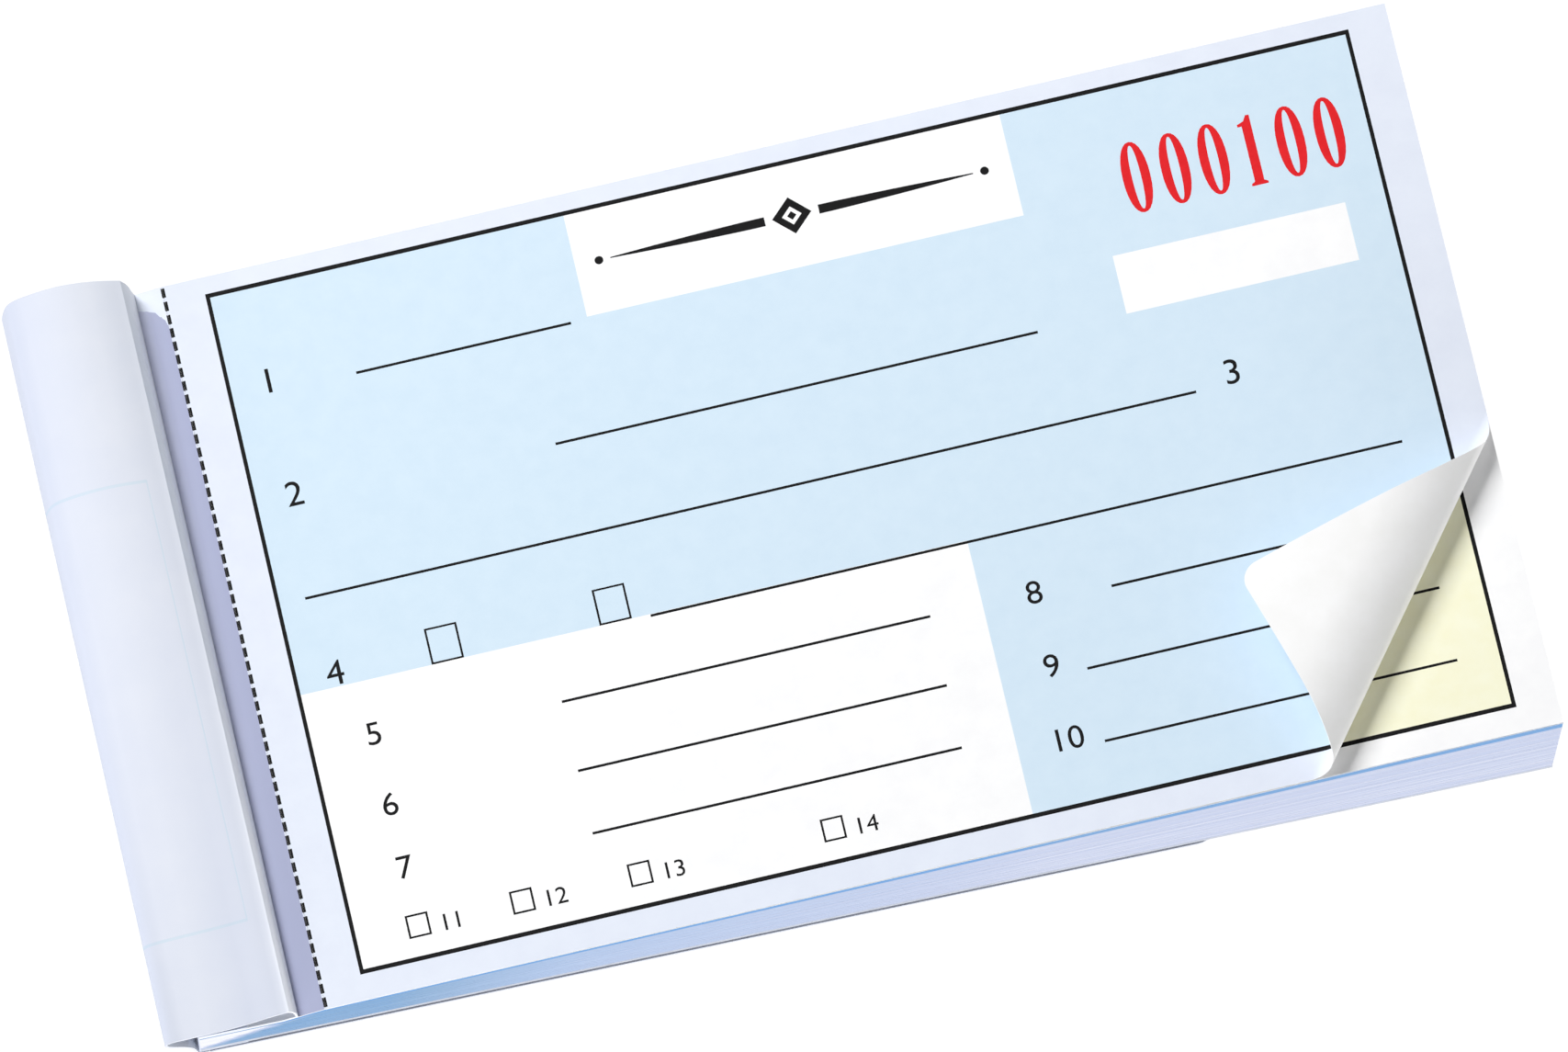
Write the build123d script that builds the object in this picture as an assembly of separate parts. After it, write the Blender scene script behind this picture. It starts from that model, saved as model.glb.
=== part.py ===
from build123d import *
import math
import os

# Duplicate receipt book lying open, in millimetres.
# X runs from the spine to the free edge, Y from the near edge to the far edge, Z up.

# Sheets and sets
sheet_length = 130.0
sheet_width = 75.0
sheet_thickness = 0.055
set_count = 25
bound_margin = 12.0  # spine to the perforation
swell_at_perforation = 0.8  # how much looser the stack is here than between the staples
swell_at_free_edge = 7.5
trim_lean = 1.0  # how much shorter the lowest sheet is than the top one

# Perforation between an original and its bound margin
slit_length = 0.97
tie_length = 0.42
slit_depth = 0.14  # cut into the edge on each side of the crease
crease_gap = 0.15  # room that a leaf needs to bend up beside its bound margin

# Curled corner of the top original
curl_start_on_free_edge = 32.35  # where the curl begins, measured from the corner
curl_start_on_near_edge = 24.25
curl_bends = [(1.6, 128.0, 11), (8.0, 175.0, 5)]  # radius, degrees turned at its end, and steps
tip_radius = 48.0  # the rest of the corner bends gently
tip_steps = 3
corner_round = 2.0
corner_share = 0.97  # how much of the rounding is drawn, which leaves a short straight tip

# Covers and binding
cover_thickness = 0.22
board_thickness = 0.4
flare_width = 4.0  # strip in which the sheets spread from the pressed binding
gutter = 2.6  # cover crease to the perforation
roll_overhang = 3.3  # how far the turned-back cover stands out past the spine
roll_height_far = 5.0  # above the top sheet at the perforation
roll_height_near = 1.2
flap_clearance = 0.45  # between the turned-under flap and the board, room for the staple ends
flap_step = 0.05  # how much higher the roll ends than the flap begins
fold_from_spine = 0.8  # where the cover becomes the flap
tape_thickness = 0.12
tape_leg = 4.5
wire_width = 0.5
wire_height = 0.4
crown_length = 12.0
clinch_length = 4.0
staple_spacing = 40.0
pierce_clearance = 0.01

# Shape of the turned-back cover at its two ends, from the crease over the top and down to the left.
# The first number runs from its left side to the crease, the second is a share of the roll height.
roll_far = [
    (0.98, 0.12),
    (0.955, 0.4),
    (0.905, 0.69),
    (0.8, 0.82),
    (0.625, 0.97),
    (0.415, 1.02),
    (0.185, 0.88),
    (0.055, 0.65),
    (0.015, 0.32),
]
roll_near = [
    (0.99, 0.19),
    (0.97, 0.69),
    (0.935, 1.0),
    (0.825, 0.82),
    (0.655, 0.36),
    (0.455, 0.0),
    (0.26, -0.14),
    (0.12, -0.22),
    (0.03, -0.35),
]
# Below that, down to the fold under the book, the second number is a share of the height of the perforation.
side_far = [
    (0.0, 1.05),
    (0.01, 0.75),
    (0.045, 0.45),
    (0.11, 0.2),
    (0.19, 0.06),
    (0.245, 0.005),
    (0.285, 0.0),
]
side_near = [
    (0.0, 0.805),
    (0.03, 0.665),
    (0.11, 0.535),
    (0.195, 0.34),
    (0.22, 0.145),
    (0.25, 0.01),
    (0.285, 0.0),
]
crease_bevel = 0.28  # how far the inside of the cover's crease lies from its outside

# Places that follow from the sizes above
sheet_count = 2 * set_count
half_width = sheet_width / 2
spine_x = -(sheet_length - roll_overhang) / 2
board_bottom = cover_thickness + flap_clearance
stack_bottom = board_bottom + board_thickness
pressed_top = stack_bottom + sheet_count * sheet_thickness
pressed_width = bound_margin - flare_width
crease = bound_margin - gutter
staple_line = (tape_leg + pressed_width) / 2
perforation_top = pressed_top + swell_at_perforation


def section(points):
    """Closed outline in the XZ plane, with x measured from the spine."""
    corners = [(spine_x + x, 0, z) for x, z in points]
    return make_face(Polyline(*corners, close=True))


def strip(points, width=sheet_width):
    """A flat-sided strip across the book with this outline."""
    return extrude(section(points), amount=width / 2, dir=(0, 1, 0), both=True)


def block(x0, x1, y0, y1, z0, z1):
    """A box between two corners, with x measured from the spine."""
    solid = Box(x1 - x0, y1 - y0, z1 - z0, align=(Align.MIN, Align.MIN, Align.MIN))
    return Pos(spine_x + x0, y0, z0) * solid


def leg_centres():
    """Middle of each staple leg along Y."""
    reach = (crown_length - wire_width) / 2
    middles = [-staple_spacing / 2, staple_spacing / 2]
    return [middle + side * reach for middle in middles for side in (-1, 1)]


def pierce(solid):
    """The solid with a hole for every staple leg."""
    half = wire_width / 2 + pierce_clearance
    top = pressed_top + cover_thickness + wire_height
    holes = [block(staple_line - half, staple_line + half, y - half, y + half, 0, top) for y in leg_centres()]
    return solid - holes


def sheet_line(number):
    """Underside of a sheet, counted from the lowest: pressed height, perforation, free edge."""
    share = number / (sheet_count - 1)
    pressed = stack_bottom + number * sheet_thickness
    loose = pressed + share * swell_at_perforation
    free = pressed + share * swell_at_free_edge
    end = sheet_length - trim_lean * (1 - share)
    return pressed, loose, free, end


def whole_sheet(number):
    """One sheet from the spine to its free edge, pierced by the staples."""
    pressed, loose, free, end = sheet_line(number)
    under = [(0, pressed), (pressed_width, pressed), (bound_margin, loose), (end, free)]
    over = [(x, z + sheet_thickness) for x, z in reversed(under)]
    return pierce(strip(under + over))


def bound_strip(number):
    """The part of a sheet that stays in the binding."""
    pressed, loose, free, end = sheet_line(number)
    last = bound_margin - crease_gap / 2
    drop = (loose - pressed) * crease_gap / 2 / flare_width
    under = [(0, pressed), (pressed_width, pressed), (last, loose - drop)]
    over = [(x, z + sheet_thickness) for x, z in reversed(under)]
    return pierce(strip(under + over))


def slit_starts():
    """Near end of every perforation slit along Y."""
    pitch = slit_length + tie_length
    count = int((sheet_width + tie_length / 2) / pitch)
    first = -(count * pitch - tie_length) / 2
    return [first + pitch * step for step in range(count)]


def perforated_strip(number):
    """Bound margin of an original, with half of every slit along its edge."""
    solid = bound_strip(number)
    edge = bound_margin - crease_gap / 2
    top = perforation_top + slit_depth
    slits = [block(edge - slit_depth, edge + slit_depth, y, y + slit_length, 0, top) for y in slit_starts()]
    return solid - slits


def leaf_place(number):
    """How a point of a leaf, along, across and above its underside, lies in the book."""
    pressed, loose, free, end = sheet_line(number)
    start = bound_margin + crease_gap / 2
    slope = math.atan2(free - loose, end - bound_margin)
    length = (end - start) / math.cos(slope)
    low = loose + crease_gap / 2 * math.tan(slope)

    def place(along, across, above):
        x = spine_x + start + along * math.cos(slope) - above * math.sin(slope)
        z = low + along * math.sin(slope) + above * math.cos(slope)
        return Vector(x, across, z)

    return place, length


def polygon(points):
    """Flat face through these points."""
    return Face(Wire.make_polygon(points, close=True))


def flat_leaf(number):
    """A leaf without curl or slits."""
    place, length = leaf_place(number)
    corners = [(0, -half_width), (length, -half_width), (length, half_width), (0, half_width)]
    under = [place(u, v, 0) for u, v in corners]
    over = [place(u, v, sheet_thickness) for u, v in corners]
    faces = [polygon(under), polygon(over)]
    for a, b in zip(range(4), (1, 2, 3, 0)):
        faces.append(polygon([under[a], under[b], over[b], over[a]]))
    return Solid(Shell(faces))


def curl_rows():
    """Lines across the curled corner: near end, free end, and the length past the start of the curl."""
    span = math.hypot(curl_start_on_free_edge, curl_start_on_near_edge)
    from_free = curl_start_on_free_edge / span
    from_near = curl_start_on_near_edge / span
    reach = curl_start_on_near_edge * from_free
    middle = corner_round * (from_free + from_near)
    round_start = corner_round * max(from_free, from_near) + sheet_thickness
    tip = middle - corner_round * corner_share
    past = [0.0]
    turned = 0.0
    for radius, degrees, steps in curl_bends:
        arc = radius * (math.radians(degrees) - turned)
        past = past + [past[-1] + arc * step / steps for step in range(1, steps + 1)]
        turned = math.radians(degrees)
    tail = reach - round_start - past[-1]
    past = past + [past[-1] + tail * step / tip_steps for step in range(1, tip_steps + 1)]
    past = past + [reach - round_start + (round_start - tip) * step / 4 for step in range(1, 5)]
    rows = []
    for distance in past:
        left = reach - distance
        near_end = (left / from_free, 0.0)
        free_end = (0.0, left / from_near)
        bulge = math.sqrt(max(corner_round**2 - (left - middle) ** 2, 0))
        centre = (corner_round - (middle - left) * from_free, corner_round - (middle - left) * from_near)
        if near_end[0] < corner_round:
            near_end = (centre[0] + bulge * from_near, centre[1] - bulge * from_free)
        if free_end[1] < corner_round:
            free_end = (centre[0] - bulge * from_near, centre[1] + bulge * from_free)
        rows.append((near_end, free_end, distance))
    return rows, (from_free, from_near)


def bent(distance, above):
    """How far out and up a point of the sheet lies when it is this far past the start of the curl."""
    out = 0.0
    up = above
    turned = 0.0
    bends = [(radius, math.radians(degrees)) for radius, degrees, steps in curl_bends]
    for radius, limit in bends + [(tip_radius, math.inf)]:
        turn = min(turned + distance / radius, limit)
        out = out + (radius - above) * (math.sin(turn) - math.sin(turned))
        up = up + (radius - above) * (math.cos(turned) - math.cos(turn))
        distance = distance - radius * (turn - turned)
        turned = turn
    return out, up


def curled_leaf(number):
    """The top original, with its near free corner curled up and over."""
    place, length = leaf_place(number)
    rows, (from_free, from_near) = curl_rows()

    def curled(end, distance, above):
        out, up = bent(distance, above)
        in_free = end[0] + (distance - out) * from_free
        in_near = end[1] + (distance - out) * from_near
        return place(length - in_free, in_near - half_width, up)

    start_free = rows[0][1][1] - half_width
    start_near = length - rows[0][0][0]
    notched = [(0, half_width), (length, half_width), (length, start_free)]
    notched = notched + [(start_near, -half_width), (0, -half_width)]
    for y in slit_starts():
        notched = notched + [(0, y), (slit_depth, y), (slit_depth, y + slit_length), (0, y + slit_length)]
    under = [place(u, v, 0) for u, v in notched]
    over = [place(u, v, sheet_thickness) for u, v in notched]
    faces = [polygon(under), polygon(over)]
    for here in range(len(notched)):
        after = (here + 1) % len(notched)
        if here != 2:
            faces.append(polygon([under[here], under[after], over[after], over[here]]))
    lines = []
    for near_end, free_end, distance in rows:
        ends = [(near_end, 0), (free_end, 0), (free_end, sheet_thickness), (near_end, sheet_thickness)]
        lines.append([curled(end, distance, above) for end, above in ends])
    for one, two in zip(lines, lines[1:]):
        faces.append(polygon([one[0], one[1], two[1], two[0]]))
        faces.append(polygon([one[3], one[2], two[2], two[3]]))
        for a, b in ((0, 3), (1, 2)):
            faces.append(polygon([one[a], one[b], two[b]]))
            faces.append(polygon([one[a], two[b], two[a]]))
    faces.append(polygon(lines[-1]))
    return Solid(Shell(faces))


def cover_seat(x):
    """Height of the top of the sheets under the cover's bound margin."""
    return pressed_top + max(x - pressed_width, 0) / flare_width * swell_at_perforation


def roll_line(table, height, side, y):
    """Outside of the turned-back cover at one end, from the crease to the fold under the book."""
    reach = crease + roll_overhang
    line = [(crease, cover_seat(crease))]
    for share, part in table:
        line.append((share * reach - roll_overhang, perforation_top + part * height))
    for share, part in side:
        line.append((share * reach - roll_overhang, flap_step + part * perforation_top))
    return [Vector(spine_x + x, y, z) for x, z in line]


def shared_places(near, far):
    """Places from 0 to 1 along both lines, so that the surface between them runs straight across the book."""
    walked = [0.0]
    for step in range(1, len(near)):
        length = (near[step] - near[step - 1]).length + (far[step] - far[step - 1]).length
        walked.append(walked[-1] + length)
    return [length / walked[-1] for length in walked]


def roll_outline(points, places, y):
    """Closed outline of the front cover at one end of the spine, and the length of its roll."""
    outside = Edge.make_spline(points, parameters=places)
    steps = 32
    shares = [step / steps for step in range(2, steps + 1)]
    inside = []
    for share in shares:
        ahead = outside.tangent_at(share)
        across = Vector(-ahead.Z, 0, ahead.X)
        inside.append(outside.position_at(share) + across * cover_thickness)
    margin = [(0, pressed_top), (pressed_width, pressed_top), (crease, cover_seat(crease))]
    margin = [Vector(spine_x + x, y, z) for x, z in margin]
    lift = Vector(0, 0, cover_thickness)
    bevel = crease - crease_bevel
    inner_crease = Vector(spine_x + bevel, y, cover_seat(bevel) + cover_thickness)
    fold_end = Vector(spine_x + fold_from_spine, y, flap_step)
    edges = [
        Line(margin[0], margin[1]),
        Line(margin[1], margin[2]),
        outside,
        Line(points[-1], fold_end),
        Line(fold_end, fold_end + lift),
        Line(fold_end + lift, inside[-1]),
        Edge.make_spline([inner_crease] + inside, parameters=[0.0] + shares),
        Line(inner_crease, margin[1] + lift),
        Line(margin[1] + lift, margin[0] + lift),
        Line(margin[0] + lift, margin[0]),
    ]
    return Wire(edges), outside.length


def front_cover():
    """Bound margin and turned-back roll of the front cover, and the mean length of the roll."""
    near = roll_line(roll_near, roll_height_near, side_near, -half_width)
    far = roll_line(roll_far, roll_height_far, side_far, half_width)
    places = shared_places(near, far)
    near_wire, near_length = roll_outline(near, places, -half_width)
    far_wire, far_length = roll_outline(far, places, half_width)
    return Solid.make_loft([near_wire, far_wire], ruled=True), (near_length + far_length) / 2


def staple(middle):
    """One staple: crown on the cover, two legs, and ends bent in under the board."""
    half_wire = wire_width / 2
    half_crown = crown_length / 2
    low = board_bottom - wire_height
    high = pressed_top + cover_thickness + wire_height
    x0 = staple_line - half_wire
    x1 = staple_line + half_wire
    solid = block(x0, x1, middle - half_crown, middle + half_crown, high - wire_height, high)
    for side in (-1, 1):
        outer = middle + side * half_crown
        inner = outer - side * wire_width
        tip = outer - side * clinch_length
        solid = solid + block(x0, x1, min(outer, inner), max(outer, inner), low, high)
        solid = solid + block(x0, x1, min(outer, tip), max(outer, tip), low, low + wire_height)
    return solid


def binding_tape():
    """Tape round the spine edge, from the cover's margin to the underside of the board."""
    low = board_bottom
    high = pressed_top + cover_thickness
    inside = [(tape_leg, low), (0, low), (0, high), (tape_leg, high)]
    outside = [
        (tape_leg, high + tape_thickness),
        (-tape_thickness, high + tape_thickness),
        (-tape_thickness, low - tape_thickness),
        (tape_leg, low - tape_thickness),
    ]
    return strip(inside + outside)


def main():
    os.makedirs("parts", exist_ok=True)
    cover, roll_length = front_cover()
    flap_length = sheet_length - crease - roll_length - fold_from_spine
    flap_end = fold_from_spine + flap_length
    flap = block(fold_from_spine + flap_step, flap_end, -half_width, half_width, 0, cover_thickness)
    board = block(0, sheet_length - trim_lean, -half_width, half_width, board_bottom, stack_bottom)
    staples = [staple(-staple_spacing / 2), staple(staple_spacing / 2)]
    top = sheet_count - 1
    pieces = {
        "front_cover": pierce(cover),
        "front_cover_flap": flap,
        "back_cover": pierce(board),
        "binding_tape": binding_tape(),
        "staples": Compound(staples),
        "original_01_leaf": curled_leaf(top),
        "original_01_margin": perforated_strip(top),
        "duplicate_01_leaf": flat_leaf(top - 1),
        "duplicate_01_margin": bound_strip(top - 1),
    }
    for number in range(2, set_count + 1):
        duplicate = sheet_count - 2 * number
        pieces[f"receipt_set_{number:02d}"] = Compound([whole_sheet(duplicate), whole_sheet(duplicate + 1)])
    for name, piece in pieces.items():
        export_step(piece, f"parts/{name}.step")
    print(len(pieces), "pieces; flap length", round(flap_length, 2), "roll length", round(roll_length, 2))


main()
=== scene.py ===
# %% [markdown]
# # A duplicate receipt book, dressed over its frame
# The book lies open with its front cover turned back round the spine. The frame already holds every
# piece at its true size, so this lesson only gives the pieces their looks: printed sheets with a
# curled corner, the fluffed stack of paper, the rolled cover, board, tape and staples.

# %% Load the frame
import math
import random

import bpy
import numpy as np
from mathutils import Matrix, Vector


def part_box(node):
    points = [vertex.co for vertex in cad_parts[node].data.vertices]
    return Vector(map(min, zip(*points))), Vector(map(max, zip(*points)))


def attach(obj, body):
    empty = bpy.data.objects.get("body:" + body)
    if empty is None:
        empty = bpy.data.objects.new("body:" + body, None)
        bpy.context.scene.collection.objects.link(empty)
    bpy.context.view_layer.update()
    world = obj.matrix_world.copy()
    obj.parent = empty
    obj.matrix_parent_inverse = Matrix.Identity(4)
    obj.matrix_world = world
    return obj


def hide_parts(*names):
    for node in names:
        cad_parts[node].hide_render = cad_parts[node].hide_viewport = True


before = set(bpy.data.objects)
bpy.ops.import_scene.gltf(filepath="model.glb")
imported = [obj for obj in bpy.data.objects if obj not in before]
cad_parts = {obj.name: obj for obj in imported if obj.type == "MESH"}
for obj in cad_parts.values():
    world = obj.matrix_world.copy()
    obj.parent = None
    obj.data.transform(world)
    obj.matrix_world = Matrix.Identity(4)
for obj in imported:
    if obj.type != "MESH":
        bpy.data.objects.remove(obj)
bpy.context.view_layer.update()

# %% [markdown]
# ## Sizes of the book
# Paper is far too thin to eyeball, so the sheets are placed by number. Each of the fifty sheets lies
# pressed flat between the staples and spreads towards its free edge. The values below are millimetres
# and are the ones the frame was built from. Flat layouts are drawn at one Blender unit to a millimetre
# and scaled down last, because operators such as bisect weld points that lie within a small part of a
# unit, and at one unit to a metre that part would be as wide as a printed line.

# %% Sizes and where a sheet lies
MM = 0.001
SPINE = -63.35
LENGTH = 130.0
HALF = 37.5
PAPER = 0.055
SHEETS = 50
PRESSED = 8.0
PERFORATION = 12.0
STACK_BOTTOM = 1.07
LOOSE_RISE, FREE_RISE = 0.8, 7.5
CARD = 0.22
TOP = SHEETS - 1


def sheet_line(number, share=None):
    """Underside of a sheet: pressed height, height at the perforation, free edge's height and place."""
    share = number / TOP if share is None else share
    pressed = STACK_BOTTOM + number * PAPER
    return pressed, pressed + LOOSE_RISE * share, pressed + FREE_RISE * share, LENGTH - (1 - number / TOP)


def leaf_frame(number, start=PERFORATION):
    """Start, height there, slope and length of the free part of a sheet."""
    loose, free, end = sheet_line(number)[1:]
    slope = math.atan2(free - loose, end - PERFORATION)
    low = loose + (start - PERFORATION) * math.tan(slope)
    return start, low, slope, (end - start) / math.cos(slope)


def on_leaf(number, along, across, above, start=PERFORATION):
    """A point of a flat leaf, in metres in the book."""
    start, low, slope = leaf_frame(number, start)[:3]
    x = SPINE + start + along * math.cos(slope) - above * math.sin(slope)
    z = low + along * math.sin(slope) + above * math.cos(slope)
    return Vector((x, across, z)) * MM


CREASE_GAP = 0.075
LEAF_START = PERFORATION + CREASE_GAP
print("top leaf length in millimetres:", round(leaf_frame(TOP, LEAF_START)[3], 2))

# %% [markdown]
# ## Small helpers
# Operators act on everything that is selected, and the frame's pieces are selected after loading.
# So every step first clears the selection and names the one piece it works on.

# %% Helpers for operators and colour


def pick(*pieces):
    """Selects only these pieces and makes the first one active."""
    bpy.ops.object.select_all(action="DESELECT")
    for piece in pieces:
        piece.select_set(True)
    bpy.context.view_layer.objects.active = pieces[0]


def apply_modifier(piece, kind, **settings):
    """Adds a modifier, gives it its settings and applies it."""
    pick(piece)
    modifier = piece.modifiers.new(kind.title(), kind)
    for name, value in settings.items():
        setattr(modifier, name, value)
    bpy.ops.object.modifier_apply(modifier=modifier.name)


def linear(code):
    """An sRGB hex colour as linear red, green, blue and alpha."""
    parts = [int(code[i : i + 2], 16) / 255 for i in (1, 3, 5)]
    return [p / 12.92 if p <= 0.04045 else ((p + 0.055) / 1.055) ** 2.4 for p in parts] + [1.0]


def add_node(tree, kind, values=None, links=None):
    """Adds a node, sets its inputs or settings by name, and links inputs to other outputs."""
    node = tree.nodes.new(kind)
    for name, value in (values or {}).items():
        if isinstance(name, int) or name in node.inputs:
            node.inputs[name].default_value = value
        else:
            setattr(node, name, value)
    for name, output in (links or {}).items():
        tree.links.new(output, node.inputs[name])
    return node


def set_ramp(ramp, stops):
    """Gives a colour ramp its places and hex colours."""
    band = ramp.color_ramp
    while len(band.elements) < len(stops):
        band.elements.new(0.5)
    for element, (place, code) in zip(band.elements, stops):
        element.position = place
        element.color = linear(code)


# %% [markdown]
# ## Papers and inks
# Uncoated bond paper is pressed wood fibre. Close up it is never one even white: the fibres gather in
# soft clouds a few millimetres wide, and the surface has a tooth of about a tenth of a millimetre.
# A printed tint or ink lies on the same tooth and shows the same clouds, so one recipe serves them all,
# with a cloud size and a tooth size in millimetres. The tooth is drawn three times too coarse so that
# it still shows in a picture of the whole book.

# %% Make the papers and inks
CELLULOSE_IOR = 1.47
TOOTH_DEPTH, SHINE_SPREAD = 0.02, 0.06


def paper_finish(
    name, dark, light, roughness, cloud=3.0, tooth=0.3, bump=0.12, specular=0.3, soil_and_shade_colour=None
):
    """Paper or ink on paper: clouds of two close colours on a fine tooth; given a darker colour, mixed
    towards it by a point attribute that holds soil and painted shade.
    """
    material = bpy.data.materials.new(name)
    material.use_nodes = True
    tree = material.node_tree
    shader = tree.nodes["Principled BSDF"]
    place = add_node(tree, "ShaderNodeTexCoord").outputs["Object"]
    clouds = add_node(
        tree, "ShaderNodeTexNoise",
        {"Scale": 1 / MM / cloud, "Detail": 4.0, "Roughness": 0.62}, {"Vector": place},
    )
    ramp = add_node(tree, "ShaderNodeValToRGB", None, {"Fac": clouds.outputs["Fac"]})
    set_ramp(ramp, [(0.32, dark), (0.68, light)])
    grain = add_node(
        tree, "ShaderNodeTexNoise",
        {"Scale": 1 / MM / tooth, "Detail": 2.0, "Roughness": 0.5}, {"Vector": place},
    )
    relief = add_node(
        tree, "ShaderNodeBump",
        {"Strength": bump, "Distance": TOOTH_DEPTH * MM}, {"Height": grain.outputs["Fac"]},
    )
    shine = add_node(
        tree, "ShaderNodeMapRange",
        {"To Min": roughness - SHINE_SPREAD, "To Max": roughness + SHINE_SPREAD},
        {"Value": grain.outputs["Fac"]},
    )
    colour = ramp.outputs["Color"]
    # A darker colour stands for soil and painted shade together, placed by a point attribute.
    if soil_and_shade_colour:
        soil_and_painted_shade = add_node(tree, "ShaderNodeAttribute", {"attribute_name": "soil_and_painted_shade"})
        mix = add_node(
            tree, "ShaderNodeMix",
            {"data_type": "RGBA", 7: linear(soil_and_shade_colour)}, {0: soil_and_painted_shade.outputs["Fac"], 6: colour},
        )
        colour = mix.outputs[2]
    tree.links.new(colour, shader.inputs["Base Color"])
    tree.links.new(relief.outputs["Normal"], shader.inputs["Normal"])
    tree.links.new(shine.outputs["Result"], shader.inputs["Roughness"])
    shader.inputs["IOR"].default_value = CELLULOSE_IOR
    shader.inputs["Specular IOR Level"].default_value = specular
    return material


bond_paper = paper_finish("carbonless_bond_paper", "#E3E9F6", "#E7EDF9", 0.86)
bare_panel = paper_finish("bare_white_bond", "#FAFAFB", "#FFFFFF", 0.86)
sheet_back = paper_finish("coated_sheet_back", "#FBFBFA", "#FFFFFF", 0.72)
blue_tint = paper_finish("pale_blue_screen_tint", "#D1E5F4", "#D5E8F6", 0.8, cloud=2.2)
yellow_tint = paper_finish("pale_yellow_screen_tint", "#F8F6D6", "#FAF9DE", 0.8, cloud=2.2)
# This ink also paints the shade inside the perforation's slits.
black_ink_and_slit_shade = paper_finish("black_ink_and_painted_slit_shade", "#040405", "#0F0E10", 0.6, cloud=0.6, specular=0.15)
red_ink = paper_finish("red_numbering_ink", "#DC0C18", "#E8141E", 0.55, cloud=0.8, specular=0.2)
# The gutter strip's lavender-grey paper, and the darker colour it is mixed towards, are painted shade of
# the roll over the gutter.
gutter_painted_shade_paper = paper_finish("gutter_paper_with_painted_shade", "#D6DAEF", "#DDE1F4", 0.88, soil_and_shade_colour="#A8ADC9")
print("papers and inks:", [m.name for m in bpy.data.materials if m.users == 0])

# %% [markdown]
# ## The printed form
# The form is a ruled box with a pale tint inside, white panels, writing lines and tick boxes. All of
# it is rectangles, so the print is a list of rectangles laid over each other in order. The sheet is
# a plane that is bisected along every rectangle's edges, and each face takes the ink of the last
# rectangle that covers it. That keeps the lines sharp at any distance, with no picture file.

# %% List the print in millimetres from the perforation and from the middle
RULE, BOX_RULE = 0.27, 0.2
UPRIGHT, LEVEL = 0.385, 0.455
LEFT, RIGHT, BOTTOM, UPPER = 3.8, 114.2, -34.95, 35.75


def writing_line(start, end, height):
    """A thin black line whose lower edge stands at this height."""
    return ("ink", start, end, height, height + RULE)


def tick_box(left, right, low, high):
    """A square outline with the ground showing inside."""
    inside = "panel" if high < -20 else "tint"
    hollow = (inside, left + BOX_RULE, right - BOX_RULE, low + BOX_RULE, high - BOX_RULE)
    return [("ink", left, right, low, high), hollow]


FORM = [
    ("ink", LEFT, RIGHT, BOTTOM, UPPER),
    ("tint", LEFT + UPRIGHT, RIGHT - UPRIGHT, BOTTOM + LEVEL, UPPER - LEVEL),
    ("panel", 38.3, 80.4, 24.7, UPPER - LEVEL),
    ("panel", 87.6, 110.0, 12.55, 18.6),
    ("panel", LEFT + UPRIGHT, 68.1, BOTTOM + LEVEL, -6.2),
    writing_line(16.0, 36.7, 24.3),
    writing_line(32.7, 79.1, 12.65),
    writing_line(6.6, 92.2, 3.1),
    writing_line(37.7, 109.8, -6.5),
    writing_line(27.8, 63.1, -12.95),
    writing_line(27.8, 63.1, -20.1),
    writing_line(27.8, 63.1, -26.55),
    writing_line(80.2, 109.9, -14.1),
    writing_line(76.2, 109.9, -21.65),
    writing_line(76.2, 109.9, -29.15),
]
for left in (16.75, 32.85):
    FORM += tick_box(left, left + 3.1, -6.2, -2.5)
for left in (9.0, 18.95, 30.2, 48.65):
    FORM += tick_box(left, left + 2.15, -32.6, -30.25)
print("print areas on the form:", len(FORM))

# %% [markdown]
# ## Plain numbers
# The lines are told apart by plain numerals, and a numbering machine stamps each set in red. The
# stamped figures are tall and have thick stems and hairline ends, so they are drawn as outlines: a
# nought is an oval with a narrower oval cut out of it, and a one is a stem with a flag and a foot. A
# printer's swelled rule with a small diamond fills the heading panel. The perforation is a row of
# slits, 0.97 mm long with ties of 0.42 mm between them. The shade inside a slit is painted: each slit is
# drawn as a dark dash of ink on both sides of the tear line. All of these become very thin solids that
# stand a few thousandths of a millimetre proud of the paper. The painted slit shade wraps over the
# leaf's cut edge, so it starts a little before it.

# %% Draw numerals, stamped figures, slits and the heading ornament
INK_RISE, INK_HALF = 0.003, 0.0025
DIGIT_PITCH = 3.72
SLIT, TIE = 0.97, 0.42
# Painted slit shade starts just before the leaf's cut edge and reaches this far into the leaf.
SLIT_SHADE_START, SLIT_SHADE_END = -0.01, 0.18
slit_count = int((2 * HALF + TIE / 2) / (SLIT + TIE))
first_slit = -(slit_count * (SLIT + TIE) - TIE) / 2


def flat_ink(name, outlines, material):
    """Closed outlines filled as one thin layer of ink, with inner outlines as holes."""
    curve = bpy.data.curves.new(name, "CURVE")
    curve.dimensions = "2D"
    curve.fill_mode = "BOTH"
    curve.extrude = INK_HALF
    for outline in outlines:
        spline = curve.splines.new("POLY")
        spline.points.add(len(outline) - 1)
        for point, (x, y) in zip(spline.points, outline):
            point.co = (x, y, 0, 1)
        spline.use_cyclic_u = True
    piece = bpy.data.objects.new(name, curve)
    bpy.context.collection.objects.link(piece)
    piece.location.z = PAPER + INK_RISE - INK_HALF
    curve.materials.append(material)
    return to_thin_mesh(piece)


def plain_numeral(words, x, y, size, material):
    """A numeral in the plain built-in typeface, standing on a line."""
    bpy.ops.object.select_all(action="DESELECT")
    bpy.ops.object.text_add(location=(x, y, PAPER + INK_RISE - INK_HALF))
    piece = bpy.context.object
    piece.data.body = words
    piece.data.size = size
    piece.data.extrude = INK_HALF
    piece.data.materials.append(material)
    return to_thin_mesh(piece)


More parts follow.
